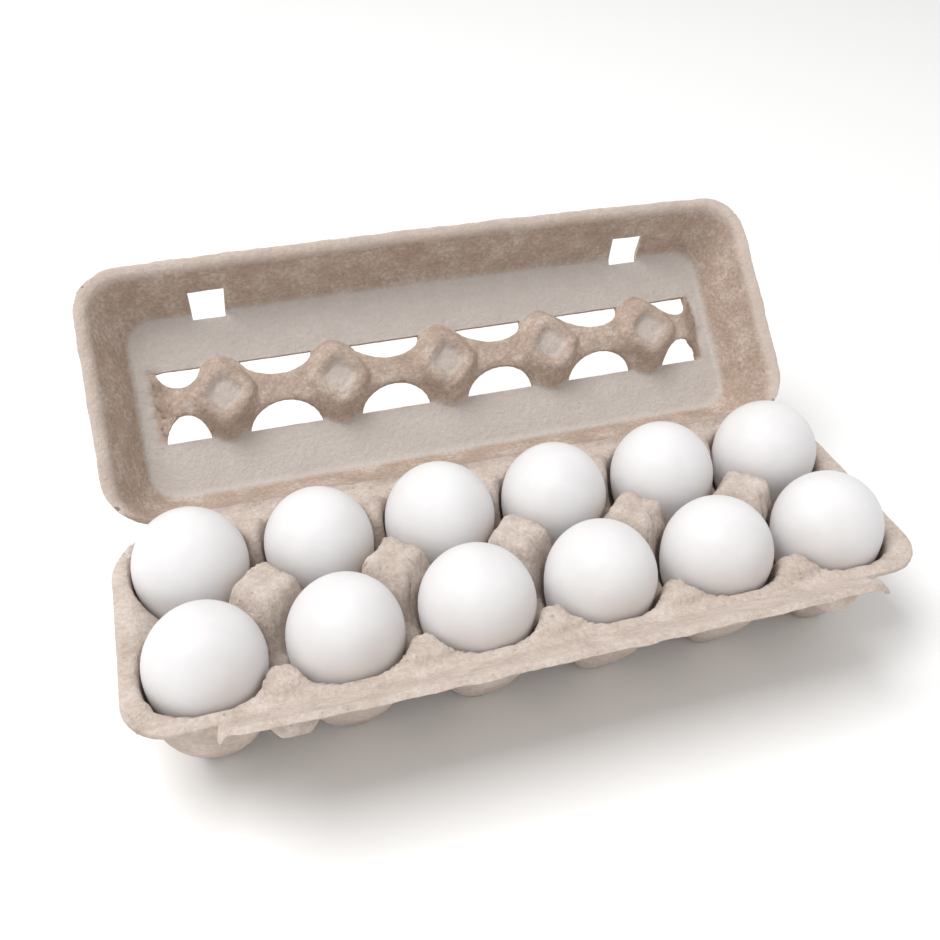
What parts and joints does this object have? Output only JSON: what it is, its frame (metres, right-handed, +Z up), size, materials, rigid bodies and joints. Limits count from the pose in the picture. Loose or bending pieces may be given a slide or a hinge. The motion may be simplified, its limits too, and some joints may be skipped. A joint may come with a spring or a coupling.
{
  "type": "egg carton",
  "caption": "Moulded pulp carton for a dozen eggs: cupped tray, hinged lid with latch holes and vents, folding lock flap, eggs seated in the cells.",
  "frame": {"origin": "on the ground, under the middle of the open carton's box", "axes": "+X along the row of six cells, +Y from the locking flap to the lid hinge, +Z up"},
  "size_m": [0.3, 0.203, 0.1165],
  "materials": {
    "pulp_tray": "matt moulded pulp",
    "pulp_lid": "matt moulded pulp",
    "pulp_flap": "matt moulded pulp",
    "eggshell": "satin white eggshell"
  },
  "bodies": {
    "base": {"base_tray": "pulp_tray", "lid_hinge": "pulp_tray", "flap_hinge": "pulp_tray"},
    "lid": {"lid": "pulp_lid"},
    "flap": {"lock_flap": "pulp_flap", "lock_button_left": "pulp_flap", "lock_button_right": "pulp_flap"},
    "egg_front_1": {"egg_front_1": "eggshell"},
    "egg_front_2": {"egg_front_2": "eggshell"},
    "egg_front_3": {"egg_front_3": "eggshell"},
    "egg_front_4": {"egg_front_4": "eggshell"},
    "egg_front_5": {"egg_front_5": "eggshell"},
    "egg_front_6": {"egg_front_6": "eggshell"},
    "egg_back_1": {"egg_back_1": "eggshell"},
    "egg_back_2": {"egg_back_2": "eggshell"},
    "egg_back_3": {"egg_back_3": "eggshell"},
    "egg_back_4": {"egg_back_4": "eggshell"},
    "egg_back_5": {"egg_back_5": "eggshell"},
    "egg_back_6": {"egg_back_6": "eggshell"}
  },
  "joints": [
    {"name": "lid_fold", "type": "hinge", "parent": "base", "child": "lid", "pos_m": [0, 0.01664, 0.0446], "axis": [-1, 0, 0], "range_deg": [-137, 43]},
    {"name": "flap_fold", "type": "hinge", "parent": "base", "child": "flap", "pos_m": [0, -0.08486, 0.0429], "axis": [1, 0, 0], "range_deg": [-84.61, 26.56]},
    {"name": "egg_front_1_lift", "type": "slide", "parent": "base", "child": "egg_front_1", "axis": [0, 0, 1], "range_m": [0, 0.065]},
    {"name": "egg_front_2_lift", "type": "slide", "parent": "base", "child": "egg_front_2", "axis": [0, 0, 1], "range_m": [0, 0.065]},
    {"name": "egg_front_3_lift", "type": "slide", "parent": "base", "child": "egg_front_3", "axis": [0, 0, 1], "range_m": [0, 0.065]},
    {"name": "egg_front_4_lift", "type": "slide", "parent": "base", "child": "egg_front_4", "axis": [0, 0, 1], "range_m": [0, 0.065]},
    {"name": "egg_front_5_lift", "type": "slide", "parent": "base", "child": "egg_front_5", "axis": [0, 0, 1], "range_m": [0, 0.065]},
    {"name": "egg_front_6_lift", "type": "slide", "parent": "base", "child": "egg_front_6", "axis": [0, 0, 1], "range_m": [0, 0.065]},
    {"name": "egg_back_1_lift", "type": "slide", "parent": "base", "child": "egg_back_1", "axis": [0, 0, 1], "range_m": [0, 0.065]},
    {"name": "egg_back_2_lift", "type": "slide", "parent": "base", "child": "egg_back_2", "axis": [0, 0, 1], "range_m": [0, 0.065]},
    {"name": "egg_back_3_lift", "type": "slide", "parent": "base", "child": "egg_back_3", "axis": [0, 0, 1], "range_m": [0, 0.065]},
    {"name": "egg_back_4_lift", "type": "slide", "parent": "base", "child": "egg_back_4", "axis": [0, 0, 1], "range_m": [0, 0.065]},
    {"name": "egg_back_5_lift", "type": "slide", "parent": "base", "child": "egg_back_5", "axis": [0, 0, 1], "range_m": [0, 0.065]},
    {"name": "egg_back_6_lift", "type": "slide", "parent": "base", "child": "egg_back_6", "axis": [0, 0, 1], "range_m": [0, 0.065]}
  ],
  "couplings": [
    {"joint": "flap_fold", "follows": "lid_fold", "ratio": 0.61752}
  ]
}
